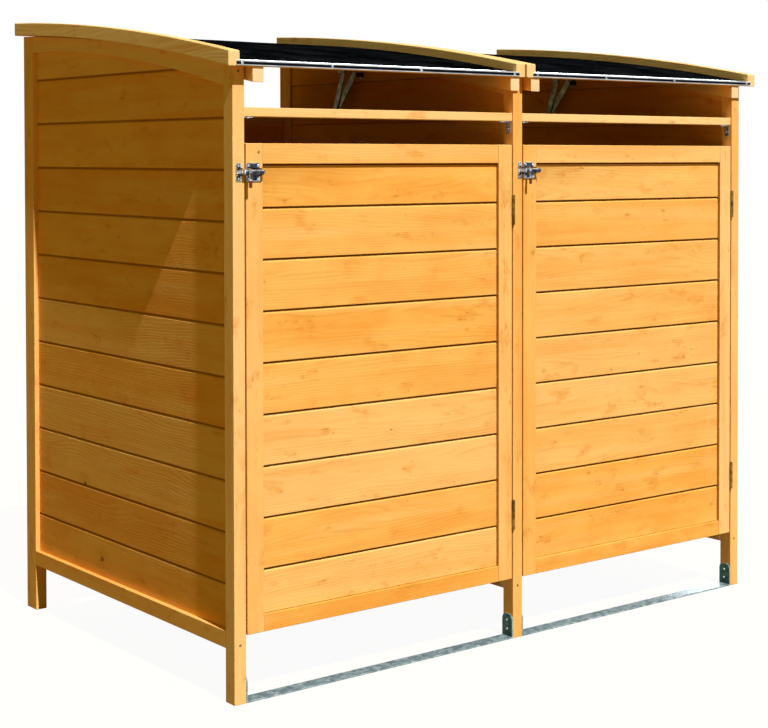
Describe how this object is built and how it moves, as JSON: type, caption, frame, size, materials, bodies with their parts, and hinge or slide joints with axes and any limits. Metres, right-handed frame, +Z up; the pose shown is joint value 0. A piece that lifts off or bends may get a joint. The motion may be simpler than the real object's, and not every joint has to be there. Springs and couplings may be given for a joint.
{
  "type": "wheelie bin store",
  "caption": "Slatted timber garden store for wheeled bins, with boarded sides, hinged front doors with slide bolts, and curved lids on folding stays.",
  "frame": {"origin": "on the ground, in the middle of the store's box", "axes": "+X to the right seen from the front, -Y towards the doors, +Z up"},
  "size_m": [1.413, 0.9301, 1.3027],
  "materials": {
    "timber": "honey glazed softwood",
    "roof_sheet": "glossy black",
    "edge_trim": "mill finish",
    "latch_steel": "bright zinc",
    "hinge_steel": "yellow zinc",
    "stay_steel": "yellow zinc",
    "galvanised_steel": "galvanised"
  },
  "bodies": {
    "frame": {"left_front_post": "timber", "left_back_post": "timber", "left_bottom_rail": "timber", "left_arched_rail": "timber", "left_side_boards": "timber", "middle_front_post": "timber", "middle_back_post": "timber", "middle_bottom_rail": "timber", "middle_arched_rail": "timber", "middle_side_boards": "timber", "right_front_post": "timber", "right_back_post": "timber", "right_bottom_rail": "timber", "right_arched_rail": "timber", "right_side_boards": "timber", "back_uprights": "timber", "back_panel_rails": "timber", "back_boards": "timber", "hinge_rails": "timber", "front_rails": "timber", "rail_brackets": "galvanised_steel", "thresholds": "galvanised_steel", "bolt_keepers": "latch_steel", "hinge_frame_leaves": "hinge_steel", "stay_frame_brackets": "stay_steel", "frame_screws": "galvanised_steel"},
    "left_door": {"left_door_stiles": "timber", "left_door_top_rail": "timber", "left_door_bottom_rail": "timber", "left_door_boards": "timber", "left_door_hinge_leaves": "hinge_steel", "left_bolt_case": "latch_steel"},
    "left_bolt": {"left_bolt": "latch_steel"},
    "left_handle": {"left_bolt_handle": "latch_steel"},
    "left_lid": {"left_lid_barges": "timber", "left_lid_ribs": "timber", "left_lid_battens": "timber", "left_lid_sheet": "roof_sheet", "left_lid_trim": "edge_trim", "left_lid_hinge_leaves": "hinge_steel", "left_lid_stay_bracket": "stay_steel"},
    "left_frame_arm": {"left_stay_frame_arm": "stay_steel"},
    "left_lid_arm": {"left_stay_lid_arm": "stay_steel"},
    "right_door": {"right_door_stiles": "timber", "right_door_top_rail": "timber", "right_door_bottom_rail": "timber", "right_door_boards": "timber", "right_door_hinge_leaves": "hinge_steel", "right_bolt_case": "latch_steel"},
    "right_bolt": {"right_bolt": "latch_steel"},
    "right_handle": {"right_bolt_handle": "latch_steel"},
    "right_lid": {"right_lid_barges": "timber", "right_lid_ribs": "timber", "right_lid_battens": "timber", "right_lid_sheet": "roof_sheet", "right_lid_trim": "edge_trim", "right_lid_hinge_leaves": "hinge_steel", "right_lid_stay_bracket": "stay_steel"},
    "right_frame_arm": {"right_stay_frame_arm": "stay_steel"},
    "right_lid_arm": {"right_stay_lid_arm": "stay_steel"}
  },
  "joints": [
    {"name": "left_door_hinge", "type": "hinge", "parent": "frame", "child": "left_door", "pos_m": [-0.014, -0.43885, 0.579], "axis": [0, 0, 1], "range_deg": [0, 130]},
    {"name": "left_bolt_slide", "type": "slide", "parent": "left_door", "child": "left_bolt", "axis": [-1, 0, 0], "range_m": [0, 0.0088]},
    {"name": "left_handle_turn", "type": "hinge", "parent": "left_bolt", "child": "left_handle", "pos_m": [-0.65345, -0.44465, 0.979], "axis": [-1, 0, 0], "range_deg": [0, 90]},
    {"name": "left_lid_hinge", "type": "hinge", "parent": "frame", "child": "left_lid", "pos_m": [-0.335, 0.46185, 1.2735], "axis": [-1, 0, 0], "range_deg": [0, 37]},
    {"name": "left_frame_arm_pivot", "type": "hinge", "parent": "frame", "child": "left_frame_arm", "pos_m": [-0.0289, 0.11435, 1.19697], "axis": [1, 0, 0], "range_deg": [0, 108.89]},
    {"name": "left_lid_arm_pivot", "type": "hinge", "parent": "left_lid", "child": "left_lid_arm", "pos_m": [-0.0315, 0.15035, 1.21304], "axis": [1, 0, 0], "range_deg": [0, 13.51]},
    {"name": "right_door_hinge", "type": "hinge", "parent": "frame", "child": "right_door", "pos_m": [0.656, -0.43885, 0.579], "axis": [0, 0, 1], "range_deg": [0, 170]},
    {"name": "right_bolt_slide", "type": "slide", "parent": "right_door", "child": "right_bolt", "axis": [-1, 0, 0], "range_m": [0, 0.0088]},
    {"name": "right_handle_turn", "type": "hinge", "parent": "right_bolt", "child": "right_handle", "pos_m": [0.02255, -0.44465, 0.979], "axis": [-1, 0, 0], "range_deg": [0, 90]},
    {"name": "right_lid_hinge", "type": "hinge", "parent": "frame", "child": "right_lid", "pos_m": [0.335, 0.46185, 1.2735], "axis": [-1, 0, 0], "range_deg": [0, 37]},
    {"name": "right_frame_arm_pivot", "type": "hinge", "parent": "frame", "child": "right_frame_arm", "pos_m": [0.6411, 0.11435, 1.19697], "axis": [1, 0, 0], "range_deg": [0, 108.89]},
    {"name": "right_lid_arm_pivot", "type": "hinge", "parent": "right_lid", "child": "right_lid_arm", "pos_m": [0.6385, 0.15035, 1.21304], "axis": [1, 0, 0], "range_deg": [0, 13.51]}
  ],
  "couplings": [
    {"joint": "left_frame_arm_pivot", "follows": "left_lid_hinge", "ratio": 2.9428},
    {"joint": "left_lid_arm_pivot", "follows": "left_lid_hinge", "ratio": 0.36493},
    {"joint": "right_frame_arm_pivot", "follows": "right_lid_hinge", "ratio": 2.9428},
    {"joint": "right_lid_arm_pivot", "follows": "right_lid_hinge", "ratio": 0.36493}
  ]
}
